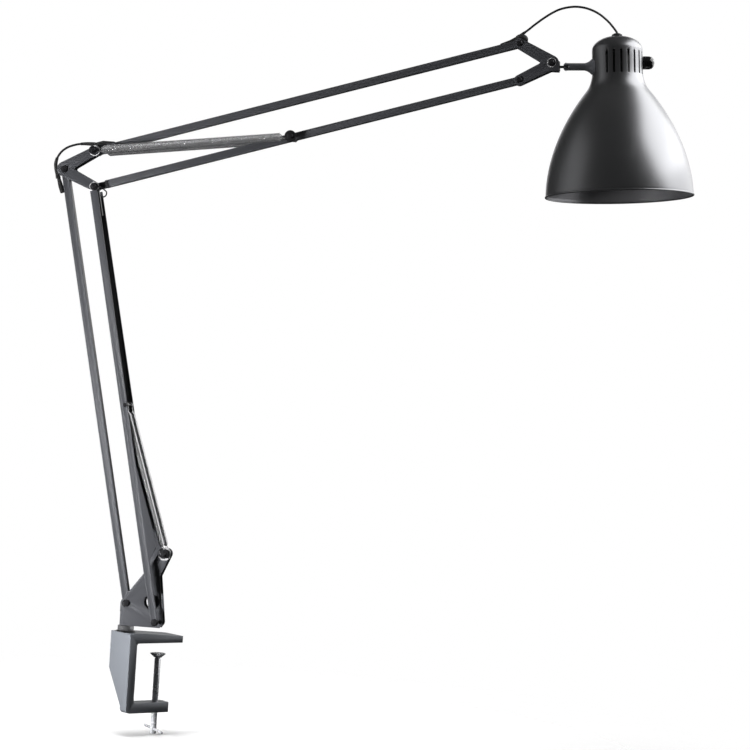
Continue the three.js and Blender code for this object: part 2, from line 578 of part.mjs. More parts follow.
// ---- cords: each route's points are offsets, the elbow's from pivot A and the head's from pivot U ----
const elbowRouteLow = [[-9.1, -5.8], [-11, 0], [-12, 6.6], [-10.2, 14], [-5.4, 21], [1.6, 26], 
  [10.6, 29.2], [15.8, 30.1]];
const elbowRouteHigh = [[20.3, 30.6], [24.6, 30.8], [30.6, 30.7], [35, 30.1]];
const headRouteLow = [[0.4, 10.8], [8.5, 16.4], [16.5, 23.4], [27.5, 32], [39.5, 39.4], [43.4, 40.9]];
const headRouteHigh = [[51.1, 43.2], [61.5, 44.4], [73.5, 43], [85.5, 38.4], [95.5, 31.4], 
  [102.5, 24.4], [106.5, 19.8]];
const headRouteSide = [0.2, 1.2, 3.4, 6.4, 9.8, 12.6, 14.2];

function cordTube(route, start, sides) {
  const points = route.map(([x, z], i) => new THREE.Vector3(start.x + x, sides ? sides[i] : 0, start.y + z));
  const path = new THREE.CatmullRomCurve3(points);
  const section = new THREE.Shape();
  section.absarc(0, 0, leadRadius, 0, Math.PI * 2, false);
  const steps = Math.max(6, Math.round(path.getLength() / (5 * leadRadius)));
  return new THREE.ExtrudeGeometry(section, { steps, extrudePath: path, curveSegments: 4, bevelEnabled: false });
}

function makeCords(lamp) {
  place(lamp, 'elbow_cord_low', solid(cordTube(elbowRouteLow, A)), rubber());
  place(lamp, 'elbow_cord_high', solid(cordTube(elbowRouteHigh, A)), rubber());
  place(lamp, 'head_cord_low', solid(cordTube(headRouteLow, U)), rubber());
  place(lamp, 'head_cord_high', solid(cordTube(headRouteHigh, U, headRouteSide)), rubber());
}

// ---- the whole lamp ----
const root = new THREE.Group();
makeClamp(root);
const lamp = new THREE.Group();
const swivel = new THREE.Vector2(spigotInset - jawReach, spigotAcross)
  .rotateAround(new THREE.Vector2(), THREE.MathUtils.degToRad(clampTurn));
lamp.position.set(swivel.x, swivel.y, 0);
root.add(lamp);
makeBase(lamp);
makeLowerBar(lamp);
makeChannel(lamp);
placeSprings(lamp, ['lower_spring_front', 'lower_spring_rear'], K2, K1, lowerSpringY, lowerSpringRadius);
makeElbow(lamp);
makeUpperBars(lamp);
placeSprings(lamp, ['upper_spring_front', 'upper_spring_rear'], C, S, upperSpringY, upperSpringRadius);
makeHeadBracket(lamp);
makeHead(makeTongue(lamp));
makeCords(lamp);

export default root;
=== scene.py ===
import bpy
import json
import math
from mathutils import Matrix, Vector

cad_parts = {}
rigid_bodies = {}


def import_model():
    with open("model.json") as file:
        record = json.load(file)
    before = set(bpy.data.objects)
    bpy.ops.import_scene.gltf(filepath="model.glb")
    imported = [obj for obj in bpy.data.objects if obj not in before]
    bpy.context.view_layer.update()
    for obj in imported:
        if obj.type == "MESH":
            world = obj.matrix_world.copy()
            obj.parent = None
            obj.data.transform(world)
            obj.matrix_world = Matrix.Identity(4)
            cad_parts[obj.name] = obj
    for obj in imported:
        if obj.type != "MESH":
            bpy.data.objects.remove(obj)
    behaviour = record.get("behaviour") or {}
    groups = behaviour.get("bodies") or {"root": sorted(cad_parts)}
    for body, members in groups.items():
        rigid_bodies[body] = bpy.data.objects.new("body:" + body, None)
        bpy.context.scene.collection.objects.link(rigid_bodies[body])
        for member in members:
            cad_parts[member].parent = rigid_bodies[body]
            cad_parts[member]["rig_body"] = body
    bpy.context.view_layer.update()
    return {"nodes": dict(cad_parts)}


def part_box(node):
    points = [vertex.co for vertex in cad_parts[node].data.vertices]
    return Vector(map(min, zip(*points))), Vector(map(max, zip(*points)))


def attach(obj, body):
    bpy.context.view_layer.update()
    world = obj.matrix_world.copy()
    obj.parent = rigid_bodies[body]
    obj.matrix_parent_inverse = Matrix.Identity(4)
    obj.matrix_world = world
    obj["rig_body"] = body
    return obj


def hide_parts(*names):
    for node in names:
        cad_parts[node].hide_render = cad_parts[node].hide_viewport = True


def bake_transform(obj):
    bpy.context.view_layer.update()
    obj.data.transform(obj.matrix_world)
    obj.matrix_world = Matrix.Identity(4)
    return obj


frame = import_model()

nodes = frame["nodes"]
side = -0.018835  # every arm lies in this upright plane

pins = {  # where the arms turn and where the springs hook on
    "lowerTop": Vector((-0.140563, side, 0.535825)),
    "elbowHigh": Vector((-0.105563, side, 0.558325)),
    "upperEnd": Vector((0.374557, side, 0.701455)),
    "neck": Vector((0.427449, side, 0.678049)),
    "lever": Vector((0.006475, side, 0.1033)),
    "channelHook": Vector((-0.048979, side, 0.269869)),
    "upperHook": Vector((0.122601, side, 0.584747)),
}
# the shade's own directions, along its stem, across it and up
stemWay = Vector((0.967436, 0.241922, 0.07444))
stemSide = Vector((-0.241209, 0.970296, -0.01856))
shadeUp = stemWay.cross(stemSide)
shadeTop = pins["neck"] + 0.0584 * stemWay + 0.0346 * shadeUp


def deselect():
    if bpy.context.mode != "OBJECT":
        bpy.ops.object.mode_set(mode="OBJECT")
    bpy.ops.object.select_all(action="DESELECT")


def selectOnly(piece):
    deselect()
    piece.select_set(True)
    bpy.context.view_layer.objects.active = piece


def named(name):
    piece = bpy.context.active_object
    piece.name = name
    piece.data.name = name
    return piece


def frameOf(origin, across, along):
    # x runs across, z runs along, y makes the third
    x, z = Vector(across).normalized(), Vector(along).normalized()
    y = z.cross(x).normalized()
    x = y.cross(z)
    turn = Matrix((x, y, z)).transposed().to_4x4()
    return Matrix.Translation(origin) @ turn


def settle(piece, matrix=None):
    # the place goes into the mesh, the object stays at the origin
    selectOnly(piece)
    if matrix is not None:
        piece.matrix_world = matrix @ piece.matrix_world
        bpy.context.view_layer.update()
    bpy.ops.object.transform_apply(location=True, rotation=True, scale=True)
    return piece


def finishWith(piece, kind, **settings):
    selectOnly(piece)
    bpy.ops.object.modifier_add(type=kind)
    modifier = piece.modifiers[-1]
    for key, value in settings.items():
        setattr(modifier, key, value)
    bpy.ops.object.modifier_apply(modifier=modifier.name)
    return piece


def smooth(piece, degrees=34):
    selectOnly(piece)
    bpy.ops.object.shade_smooth_by_angle(angle=math.radians(degrees))
    return piece


def turned(name, rings, sides=64, startCap=True, endCap=True):
    # a ring of points drawn out along z through each (radius, height)
    deselect()
    radius, height = rings[0]
    bpy.ops.mesh.primitive_circle_add(vertices=sides, radius=radius, location=(0, 0, height))
    piece = named(name)
    bpy.ops.object.transform_apply(location=True, rotation=True, scale=True)
    bpy.ops.object.mode_set(mode="EDIT")
    bpy.ops.mesh.select_all(action="SELECT")
    if startCap:
        bpy.ops.mesh.edge_face_add()
        bpy.ops.mesh.select_all(action="SELECT")
    for nextRadius, nextHeight in rings[1:]:
        bpy.ops.mesh.extrude_region_move(TRANSFORM_OT_translate={"value": (0, 0, nextHeight - height)})
        scale = nextRadius / radius
        bpy.ops.transform.resize(value=(scale, scale, 1), center_override=(0, 0, nextHeight))
        radius, height = nextRadius, nextHeight
    if endCap and not startCap:
        bpy.ops.mesh.edge_face_add()
    bpy.ops.mesh.select_all(action="SELECT")
    bpy.ops.mesh.remove_doubles(threshold=1e-6)
    bpy.ops.mesh.normals_make_consistent(inside=False)
    bpy.ops.object.mode_set(mode="OBJECT")
    return piece


def easedCopy(node, width, segments=2, degrees=32):
    # a merged copy of a CAD part with its edges rounded
    mesh = nodes[node].data.copy()
    piece = bpy.data.objects.new(node + "_eased", mesh)
    bpy.context.scene.collection.objects.link(piece)
    selectOnly(piece)
    bpy.ops.object.mode_set(mode="EDIT")
    bpy.ops.mesh.select_all(action="SELECT")
    bpy.ops.mesh.remove_doubles(threshold=1e-5)
    bpy.ops.mesh.dissolve_limited(angle_limit=math.radians(0.8))
    bpy.ops.object.mode_set(mode="OBJECT")
    finishWith(piece, "BEVEL", width=width, segments=segments, limit_method="ANGLE",
               angle_limit=math.radians(degrees), use_clamp_overlap=True)
    smooth(piece, degrees)
    return piece


def wire(name, points, radius, smoothness=1):
    deselect()
    curve = bpy.data.curves.new(name, "CURVE")
    curve.dimensions = "3D"
    curve.bevel_depth = radius
    curve.bevel_resolution = smoothness
    curve.use_fill_caps = True
    spline = curve.splines.new("POLY")
    spline.points.add(len(points) - 1)
    for knot, point in zip(spline.points, points):
        knot.co = (point[0], point[1], point[2], 1)
    piece = bpy.data.objects.new(name, curve)
    bpy.context.scene.collection.objects.link(piece)
    selectOnly(piece)
    bpy.ops.object.convert(target="MESH")
    bpy.ops.object.shade_smooth()
    return piece


def through(points, steps=8):
    # a smooth run through the points, Catmull and Rom's way
    ends = [2 * points[0] - points[1]] + list(points) + [2 * points[-1] - points[-2]]
    run = []
    for k in range(1, len(ends) - 2):
        a, b, c, d = ends[k - 1:k + 3]
        for s in range(steps):
            t = s / steps
            run.append(0.5 * (2 * b + (c - a) * t + (2 * a - 5 * b + 4 * c - d) * t * t
                              + (3 * b - a - 3 * c + d) * t ** 3))
    return run + [points[-1]]


def runLength(points):
    return sum((b - a).length for a, b in zip(points, points[1:]))


# the camera
view = {"yaw": -8.5, "pitch": 0.4876, "roll": 3.6, "place": (0.6258, -2.6395, 0.2989), "lens": 112.8}


def makeCamera():
    yaw, pitch, roll = (math.radians(view[k]) for k in ("yaw", "pitch", "roll"))
    ahead = Vector((math.sin(yaw) * math.cos(pitch), math.cos(yaw) * math.cos(pitch), math.sin(pitch)))
    right = Vector((math.cos(yaw), -math.sin(yaw), 0))
    up = right.cross(ahead)
    x = right * math.cos(roll) + up * math.sin(roll)
    y = up * math.cos(roll) - right * math.sin(roll)
    deselect()
    bpy.ops.object.camera_add()
    camera = named("camera")
    camera.data.lens = view["lens"]
    camera.data.sensor_width = 36
    camera.data.clip_start = 0.05
    camera.data.clip_end = 60
    camera.matrix_world = Matrix.Translation(view["place"]) @ Matrix((x, y, -ahead)).transposed().to_4x4()
    bpy.context.scene.camera = camera
    bpy.context.scene.view_settings.view_transform = "Standard"


makeCamera()
print("camera set")


class Field:
    # a socket that can stand in an expression
    def __init__(self, finish, socket):
        self.finish, self.socket = finish, socket

    def maths(self, operation, first, second):
        return self.finish.node("ShaderNodeMath", {"operation": operation}, {0: first, 1: second})

    def __add__(self, other): return self.maths("ADD", self, other)
    def __radd__(self, other): return self.maths("ADD", other, self)
    def __mul__(self, other): return self.maths("MULTIPLY", self, other)
    def __rmul__(self, other): return self.maths("MULTIPLY", other, self)
    def __truediv__(self, other): return self.maths("DIVIDE", self, other)
    def __rtruediv__(self, other): return self.maths("DIVIDE", other, self)


class Finish:
    def __init__(self, name):
        self.material = bpy.data.materials.new(name)
        self.material.use_nodes = True
        self.tree = self.material.node_tree
        self.tree.nodes.clear()

    def node(self, kind, settings=None, inputs=None, output=0):
        made = self.tree.nodes.new(kind)
        for key, value in (settings or {}).items():
            if key == "stops":
                ramp = made.color_ramp
                while len(ramp.elements) < len(value):
                    ramp.elements.new(0.5)
                for element, (at, tone) in zip(ramp.elements, value):
                    element.position = at
                    element.color = (tone, tone, tone, 1)
            else:
                setattr(made, key, value)
        for key, value in (inputs or {}).items():
            if isinstance(value, Field):
                self.tree.links.new(value.socket, made.inputs[key])
            else:
                made.inputs[key].default_value = value
        return Field(self, made.outputs[output])

    def place(self):
        return self.node("ShaderNodeTexCoord", output=3)

    def stretched(self, scale):
        return self.node("ShaderNodeMapping", None, {"Vector": self.place(), "Scale": scale})

    def noise(self, scale, detail=3, roughness=0.55, place=None):
        return self.node("ShaderNodeTexNoise", None, {
            "Vector": place or self.place(), "Scale": scale, "Detail": detail, "Roughness": roughness})

    def ramp(self, field, stops):
        return self.node("ShaderNodeValToRGB", {"stops": stops}, {"Fac": field})

    def between(self, field, low, high):
        return field * (high - low) + low

    def mixed(self, field, first, second):
        return self.node("ShaderNodeMix", {"data_type": "RGBA"}, {0: field, 6: (*first, 1), 7: (*second, 1)}, 2)

    def bump(self, height, distance, strength=1.0, under=None):
        inputs = {"Height": height, "Distance": distance, "Strength": strength}
        if under is not None:
            inputs["Normal"] = under
        return self.node("ShaderNodeBump", None, inputs)

    def surface(self, **sockets):
        inputs = {key.replace("_", " "): value for key, value in sockets.items()}
        shader = self.node("ShaderNodeBsdfPrincipled", None, inputs)
        output = self.tree.nodes.new("ShaderNodeOutputMaterial")
        self.tree.links.new(shader.socket, output.inputs[0])
        return self.material


paints = {  # tone, how metallic, how rough, height of the orange peel
    "clampPaint": {"tone": (0.105, 0.112, 0.124), "metal": 0.30, "rough": 0.40, "peel": 0.00006},
    "armPaint": {"tone": (0.038, 0.039, 0.043), "metal": 0.12, "rough": 0.42, "peel": 0.00004},
    "shadePaint": {"tone": (0.270, 0.272, 0.282), "metal": 0.97, "rough": 0.36, "peel": 0.00002},
    # a darker copy of the shade paint for the bell's inner faces: painted shade
    "shadeLiningPaintedShade": {"tone": (0.20, 0.20, 0.21), "metal": 0.80, "rough": 0.36, "peel": 0.00002},
}


def paint(name):
    look = paints[name]
    finish = Finish(name)
    drift = finish.noise(14, 3)
    grain = finish.noise(1500, 2)
    peel = finish.noise(420, 2)
    tone = Vector(look["tone"])
    colour = finish.mixed(drift * 0.6 + grain * 0.4, tone * 0.88, tone * 1.12)
    scuff = finish.ramp(finish.noise(60, 6, 0.7), [(0.58, 0), (0.74, 1)])
    return finish.surface(
        Base_Color=colour, Metallic=look["metal"],
        Roughness=finish.between(drift, look["rough"] - 0.04, look["rough"] + 0.04) + scuff * 0.05,
        Normal=finish.bump(peel * 0.8 + grain * 0.2, look["peel"], 0.35))


metals = {  # tone, rough, grain scale, scratches
    "zincPlate": {"tone": (0.68, 0.69, 0.72), "metal": 0.62, "rough": 0.25, "streak": (240, 240, 240)},
    "turnedSteel": {"tone": (0.30, 0.30, 0.31), "metal": 0.90, "rough": 0.30, "streak": (300, 300, 300)},
    "springWire": {"tone": (0.66, 0.66, 0.67), "metal": 0.85, "rough": 0.22, "streak": (700, 700, 700)},
    "blackOxide": {"tone": (0.035, 0.035, 0.038), "metal": 0.75, "rough": 0.33, "streak": (500, 500, 500)},
    "washerSteel": {"tone": (0.62, 0.62, 0.63), "metal": 0.55, "rough": 0.24, "streak": (600, 600, 600)},
}


def metal(name):
    look = metals[name]
    finish = Finish(name)
    streak = finish.noise(1, 4, 0.6, finish.stretched(look["streak"]))
    cloud = finish.noise(55, 4)
    tone = Vector(look["tone"])
    return finish.surface(
        Base_Color=finish.mixed(cloud, tone * 0.86, tone * 1.08), Metallic=look["metal"],
        Roughness=finish.between(streak * 0.5 + cloud * 0.5, look["rough"] - 0.07, look["rough"] + 0.12),
        Normal=finish.bump(streak, 0.00001, 0.25))


mouldings = {  # black plastics, rubber and the lead
    "blackNylon": {"tone": (0.014, 0.014, 0.015), "rough": 0.42, "grain": 900, "height": 0.00005, "coat": 0.0},
    "glossKnob": {"tone": (0.008, 0.008, 0.009), "rough": 0.14, "grain": 160, "height": 0.00001, "coat": 0.6},
    "mattRubber": {"tone": (0.013, 0.013, 0.013), "rough": 0.62, "grain": 1400, "height": 0.00005, "coat": 0.0},
    "leadSheath": {"tone": (0.010, 0.010, 0.011), "rough": 0.38, "grain": 1100, "height": 0.00004, "coat": 0.15},
}


def moulding(name):
    look = mouldings[name]
    finish = Finish(name)
    grain = finish.noise(look["grain"], 3)
    drift = finish.noise(30, 3)
    tone = Vector(look["tone"])
    return finish.surface(
        Base_Color=finish.mixed(drift, tone * 0.8, tone * 1.35),
        Roughness=finish.between(grain * 0.5 + drift * 0.5, look["rough"] - 0.05, look["rough"] + 0.08),
        Coat_Weight=look["coat"], Normal=finish.bump(grain, look["height"], 0.5))


def opalGlass():
    finish = Finish("opalGlass")
    cloud = finish.noise(40, 2)
    return finish.surface(
        Base_Color=finish.mixed(cloud, (0.86, 0.84, 0.79), (0.93, 0.91, 0.87)),
        Roughness=finish.between(cloud, 0.12, 0.2), Coat_Weight=0.4, Coat_Roughness=0.05)


finishes = {name: paint(name) for name in paints}
finishes.update({name: metal(name) for name in metals})
finishes.update({name: moulding(name) for name in mouldings})
finishes["opalGlass"] = opalGlass()
bySlot = {
    "clamp_paint": "clampPaint", "arm_paint": "armPaint", "shade_paint": "shadePaint",
    "zinc": "zincPlate", "spring_steel": "springWire", "black_steel": "blackOxide",
    "black_plastic": "blackNylon", "knob_plastic": "glossKnob", "rubber": "mattRubber",
    "lead_sheath": "leadSheath", "opal_glass": "opalGlass"}
print("finishes mixed")


def dress(piece, finishName, body=None):
    piece.data.materials.clear()
    piece.data.materials.append(finishes[finishName])
    if body:
        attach(piece, body)
    return piece


# the lead, where it shows at the elbow and at the head
leads = {
    "radius": 0.00125,
    "elbow": [(-8.0, -10.4), (-9.1, -5.8), (-11, 0), (-12, 6.6), (-10.2, 14), (-5.4, 21), (1.6, 26), (10.6, 29.2),
              (17.6, 30.4), (24.6, 30.8), (30.6, 30.7), (35, 30.1)],
    "elbowSplit": 0.0420,
    "head": [(-1.0, 0, 8.4), (1.6, 0, 10.9), (8.5, 0, 16.4), (16.5, 0, 23.4), (27.5, 0, 32), (39.5, 0, 39.4),
             (50.5, 0, 43), (61.5, 1.2, 44.4), (73.5, 3.4, 43), (85.5, 6.4, 38.4), (95.5, 9.8, 31.4),
             (102.5, 12.6, 24.4), (106.3, 14.1, 19.6), (107.0, 14.3, 17.2)],
    "headSplits": (0.041, 0.082),
}


def stretch(points, start, end):
    # the part of a run between two lengths along it
    part, gone = [], 0.0
    for a, b in zip(points, points[1:]):
        step = (b - a).length
        if start <= gone <= end:
            part.append(a)
        for mark in (start, end):
            if gone < mark < gone + step:
                part.append(a + (b - a) * ((mark - gone) / step))
        gone += step
    if end >= gone:
        part.append(points[-1])
    return part


def layCord(name, points, replaced):
    piece = wire(name, points, leads["radius"], 3)
    dress(piece, "leadSheath")
    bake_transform(piece)
    if replaced:
        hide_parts(replaced)
    runLength(points)


elbowLead = through([pins["lowerTop"] + Vector((x, 0, z)) / 1000 for x, z in leads["elbow"]])
headLead = through([pins["upperEnd"] + Vector(point) / 1000 for point in leads["head"]])
elbowLow = stretch(elbowLead, 0, leads["elbowSplit"])
elbowHigh = stretch(elbowLead, leads["elbowSplit"], runLength(elbowLead) + 1)
headLow = stretch(headLead, 0, leads["headSplits"][0])


def layCords():
    first, second = leads["headSplits"]
    layCord("elbow_cord_first", elbowLow, "elbow_cord_low")
    layCord("elbow_cord_second", elbowHigh, "elbow_cord_high")
    layCord("head_cord_first", headLow, "head_cord_low")
    layCord("head_cord_middle", stretch(headLead, first, second), None)
    layCord("head_cord_last", stretch(headLead, second, 1), "head_cord_high")


necks = {  # each rubber neck covers the lead from one length along it to another
    "elbow_neck_low": {"lead": elbowLead, "from": 0, "to": 0.024, "radii": (0.0030, 0.0018),
                       "bodies": ("lower_arm", "elbow"), "cord": elbowLow},
    "head_neck": {"lead": headLead, "from": 0, "to": 0.008, "radii": (0.0022, 0.0015),
                  "bodies": ("upper_arm", "head"), "cord": headLow},
    "elbow_neck_high": {"lead": elbowLead, "from": runLength(elbowLead) - 0.019, "to": 1, "radii": (0.0016, 0.0027),
                        "bodies": ("elbow", "upper_arm"), "cord": elbowHigh},
}


def makeNecks():
    # each grips the lead, tapering from its first radius to its last
    drawn = 0.001
    for name, look in necks.items():
        points = stretch(look["lead"], look["from"], look["to"])
        piece = wire(name, points, drawn, 4)
        first, last = look["radii"]
        for vertex in piece.data.vertices:
            near = min(range(len(points)), key=lambda k: (points[k] - vertex.co).length)
            radius = first + (last - first) * near / (len(points) - 1)
            vertex.co = points[near] + (vertex.co - points[near]) * (radius / drawn)
        dress(piece, "mattRubber")
        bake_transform(piece)


# the rounded top of the rubber boot that wraps over the end of the upper bar
crown = {"at": (0.0014, 0, 0.0058), "long": 0.0074, "half": 0.0044, "high": 0.0055, "rings": 18}


def makeCrown():
    rings = []
    for k in range(1, crown["rings"]):
        a = math.pi * k / crown["rings"]
        rings.append((crown["high"] * math.sin(a) ** 0.8, -crown["half"] * math.cos(a)))
    piece = turned("head_boot_crown", rings, 40)
    matrix = Matrix.Translation(pins["upperEnd"] + Vector(crown["at"]))
    matrix = matrix @ Matrix.Rotation(math.pi / 2, 4, "X")
    matrix = matrix @ Matrix.Diagonal((crown["long"] / crown["high"], 1, 1, 1))
    settle(piece, matrix)
    smooth(piece, 50)
    dress(piece, "mattRubber", "upper_arm")


layCords()
makeNecks()
makeCrown()
print("cords laid")

# the shade: a spun bell with cooling slots round its cap
bell = {  # outline in millimetres as radius and height, then the slots, in metres and degrees
    "flank": [(82.5, -180), (81.8, -138), (61.6, -91.5), (28.6, -54)], "flankSteps": 30, "flankTop": -61,
    "hollow": [(29.6, -54.5), (28.35, -43)], "hollowSteps": 10,
    "cap": 28.2, "collar": [(28.3, -34), (28.25, -25), (28.2, -16)], "crown": 16, "crownSteps": 15,
    "wall": 0.0012, "slots": 7, "pitch": 16.6, "width": 0.0026, "length": 0.026, "drop": 0.0315,
    "middles": (-76, 104), "holeRadius": 0.0043, "holeDrop": 0.0346, "reach": 0.028, "cut": 0.012}


def bellRings():
    rings = []
    for k in range(bell["flankSteps"] + 1):
        t = k / bell["flankSteps"]
        weights = ((1 - t) ** 3, 3 * t * (1 - t) ** 2, 3 * t * t * (1 - t), t ** 3)
        rings.append(tuple(sum(w * end[i] for w, end in zip(weights, bell["flank"])) for i in (0, 1)))
    rings = [ring for ring in rings if ring[1] < bell["flankTop"]]
    start, (bend, end) = rings[-1], bell["hollow"]
    for k in range(1, bell["hollowSteps"] + 1):  # a soft hollow where the bell meets the cap
        t = k / bell["hollowSteps"]
        rings.append(tuple((1 - t) ** 2 * start[i] + 2 * t * (1 - t) * bend[i] + t * t * end[i] for i in (0, 1)))
    rings += bell["collar"]
    for k in range(1, bell["crownSteps"]):
        a = math.radians(90 * k / bell["crownSteps"])
        rings.append((bell["cap"] * math.cos(a), bell["crown"] * (math.sin(a) - 1)))
    return [(r / 1000, z / 1000) for r, z in rings]


def slotBlades():
    # seven slots on each flank of the cap, and a round hole for the stem and for the switch
    deselect()
    bpy.ops.mesh.primitive_cube_add(size=1, location=(bell["reach"], 0, -bell["drop"]),
                                    scale=(bell["cut"], bell["width"], bell["length"]))
    cutter = named("slot_cutter")
    bpy.ops.object.transform_apply(location=True, rotation=True, scale=True)
    finishWith(cutter, "BEVEL", width=0.0011, segments=4, limit_method="ANGLE")
    blades = []
    for middle in bell["middles"]:
        for k in range(bell["slots"]):
            blade = bpy.data.objects.new("slot_blade", cutter.data.copy())
            bpy.context.scene.collection.objects.link(blade)
            angle = math.radians(middle + bell["pitch"] * (k - (bell["slots"] - 1) / 2))
            settle(blade, Matrix.Rotation(angle, 4, "Z"))
            blades.append(blade)
    for at in (-1, 1):
        deselect()
        bpy.ops.mesh.primitive_cylinder_add(vertices=32, radius=bell["holeRadius"], depth=bell["cut"],
                                            location=(at * bell["reach"], 0, -bell["holeDrop"]),
                                            rotation=(0, math.pi / 2, 0))
        hole = named("side_hole")
        bpy.ops.object.transform_apply(location=True, rotation=True, scale=True)
        blades.append(hole)
    bpy.data.objects.remove(cutter)
    deselect()
    for blade in blades:
        blade.select_set(True)
    bpy.context.view_layer.objects.active = blades[0]
    bpy.ops.object.join()
    return bpy.context.active_object


def makeShade():
    shade = turned("shade_bell", bellRings(), 144, False, False)
    finishWith(shade, "SOLIDIFY", thickness=bell["wall"], offset=-1, use_even_offset=True)
    blades = slotBlades()
    finishWith(shade, "BOOLEAN", operation="DIFFERENCE", solver="EXACT", object=blades)
    bpy.data.objects.remove(blades)
    settle(shade, frameOf(shadeTop, stemWay, shadeUp))
    finishWith(shade, "BEVEL", width=0.00022, segments=2, limit_method="ANGLE",
               angle_limit=math.radians(40), use_clamp_overlap=True)
    smooth(shade, 30)
    dress(shade, "shadePaint", "shade")
    lineWithPaintedShade(shade)
    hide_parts("shade_shell")


def lineWithPaintedShade(shade):
    # the wall's inner faces take a darker, less metallic copy of the shade paint: painted shade inside the bell
    shade.data.materials.append(finishes["shadeLiningPaintedShade"])
    for face in shade.data.polygons:
        out = face.center - shadeTop
        out -= shadeUp * out.dot(shadeUp)
        below = (face.center - shadeTop).dot(shadeUp) < -0.06
        if below and out.length > 0.001 and face.normal.dot(out.normalized()) < -0.05:
            face.material_index = 1


def makeRim():
    # the rolled bead round the mouth
    bead, middle = 0.00115, (0.0822, -0.1796)
    rings = [(middle[0] + bead * math.cos(a), middle[1] + bead * math.sin(a))
             for a in (2 * math.pi * k / 12 for k in range(13))]
    rim = turned("shade_rim", rings, 144, False, False)
    settle(rim, frameOf(shadeTop, stemWay, shadeUp))
    smooth(rim, 60)
    dress(rim, "shadePaint", "shade")


makeShade()
makeRim()
print("shade spun")

# the springs: close coils with a hook at each end
springs = {
    "lower_spring": {"from": "lever", "to": "channelHook", "out": 0.0093, "radius": 0.0032,
                     "wire": 0.00046, "hook": 0.0026, "reach": 0.0085,
                     "bodies": ("lower_springs", "lower_spring_ends")},
    "upper_spring": {"from": "elbowHigh", "to": "upperHook", "out": 0.012, "radius": 0.0051,
                     "wire": 0.00062, "hook": 0.0034, "reach": 0.0095,
                     "bodies": ("upper_springs", "upper_spring_ends")},
}


def springRun(look, offset):
    start, end = pins[look["from"]], pins[look["to"]]
    length = (end - start).length
    along = (end - start).normalized()
    across = Vector((0, 1, 0))
    third = along.cross(across)
    coil = look["radius"] - look["wire"]
    free = length - 2 * look["reach"]
    turns = int(free / (look["wire"] * 2.18))
    local = []
    for k in range(11):  # the hook's eye round its pin
        a = math.radians(30 + 290 * k / 10)
        local.append((look["hook"] * math.cos(a), 0, look["hook"] * math.sin(a)))
    steps = turns * 12  # the end turns taper in to the hooks
    middle = []
    for k in range(steps + 1):
        a = 2 * math.pi * k / 12
        fromEnd = min(k, steps - k) / 12
        r = coil * min(1, 0.35 + 0.65 * fromEnd / 2.5)
        middle.append((look["reach"] + free * k / steps, r * math.sin(a), -r * math.cos(a)))
    tail = [(length - u, v, w) for u, v, w in reversed(local)]
    return [start + offset + along * u + across * v + third * w for u, v, w in local + middle + tail]


def makeSpring(kind, place, look):
    name = kind + place
    start, end = pins[look["from"]], pins[look["to"]]
    offset = Vector((0, look["out"] * (-1 if place == "_front" else 1), 0))
    piece = wire(name + "_coil", springRun(look, offset), look["wire"], 1)
    dress(piece, "springWire")
    reach = (end - start).normalized() * look["reach"] * 1.4
    start + offset + reach
    end + offset - reach
    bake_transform(piece)
    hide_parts(name)


for kind, look in springs.items():
    for place in ("_front", "_rear"):
        makeSpring(kind, place, look)
print("springs wound")

# sheet metal, castings and screws keep their shape and get eased edges
eased = {
    "clamp_frame": 0.0011, "clamp_bush": 0.0004, "clamp_pad": 0.0005, "clamp_screw": 0.0003,
    "tommy_bar": 0.0004, "base_post": 0.0003, "base_bracket": 0.00028, "elbow_bracket": 0.00028,
    "head_bracket": 0.00028, "head_tongue": 0.0003, "head_stem": 0.0003, "lower_rear_bar": 0.00045,
    "lower_front_channel": 0.00025, "upper_top_bar": 0.00045, "upper_bottom_bar": 0.00045,
    "lower_spring_pin": 0.0002, "bar_end_cap": 0.0003, "lead_gland": 0.0003,
    "cord_grommet": 0.0004, "switch_body": 0.0005, "switch_knob": 0.0006, "lamp_holder": 0.0005,
    "elbow_boot_lower": 0.0003, "elbow_boot_upper": 0.0003, "head_boot": 0.0003, "bulb": 0.0002,
}
screwEdge = 0.00018


def easeNode(name, width):
    slotName = nodes[name].data.materials[0].name.split(".")[0]
    piece = easedCopy(name, width)
    finishName = "turnedSteel" if name == "base_post" else bySlot[slotName]
    dress(piece, finishName, nodes[name]["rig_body"])
    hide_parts(name)


for nodeName, width in eased.items():
    easeNode(nodeName, width)
for nodeName in nodes:
    if nodeName.endswith(("_screw", "_nut", "neck_pin")) and nodeName not in eased:
        easeNode(nodeName, screwEdge)
print("edges eased")

# what stays as the CAD has it takes its finish too
for node in nodes.values():
    node.data.materials[0] = finishes[bySlot[node.data.materials[0].name.split(".")[0]]]

# the small wire clip that hangs under the elbow
clip = {"at": (-0.035125, side - 0.0071, 0), "radius": 0.00075,
        "run": [(-0.0640, 0.5172), (-0.0625, 0.5178), (-0.0600, 0.5165), (-0.0560, 0.5140), (-0.0536, 0.5120),
                (-0.0533, 0.5090), (-0.0550, 0.5065), (-0.0579, 0.5058), (-0.0600, 0.5075)]}


def makeClip():
    base = Vector(clip["at"])
    points = through([base + Vector((x, 0, z)) for x, z in clip["run"]], 6)
    dress(wire("elbow_clip", points, clip["radius"], 3), "blackOxide", "elbow")


makeClip()
print("clip bent")

# bright washers round the screw heads
washerFace = side - 0.0062
washers = {  # screw, body, how far it stands out past the head, thickness
    "upper_spring_pivot": {"over": "elbow_high_screw", "body": "elbow", "rim": 0.0013, "thick": 0.0006},
    "channel_pivot": {"over": "elbow_low_screw", "body": "elbow", "rim": 0.0010, "thick": 0.0006},
    "spring_foot": {"over": "lower_spring_screw", "body": "base", "rim": 0.0021, "thick": 0.0008},
    "head_tilt": {"over": "tilt_screw", "body": "head", "rim": 0.0009, "thick": 0.0005},
}


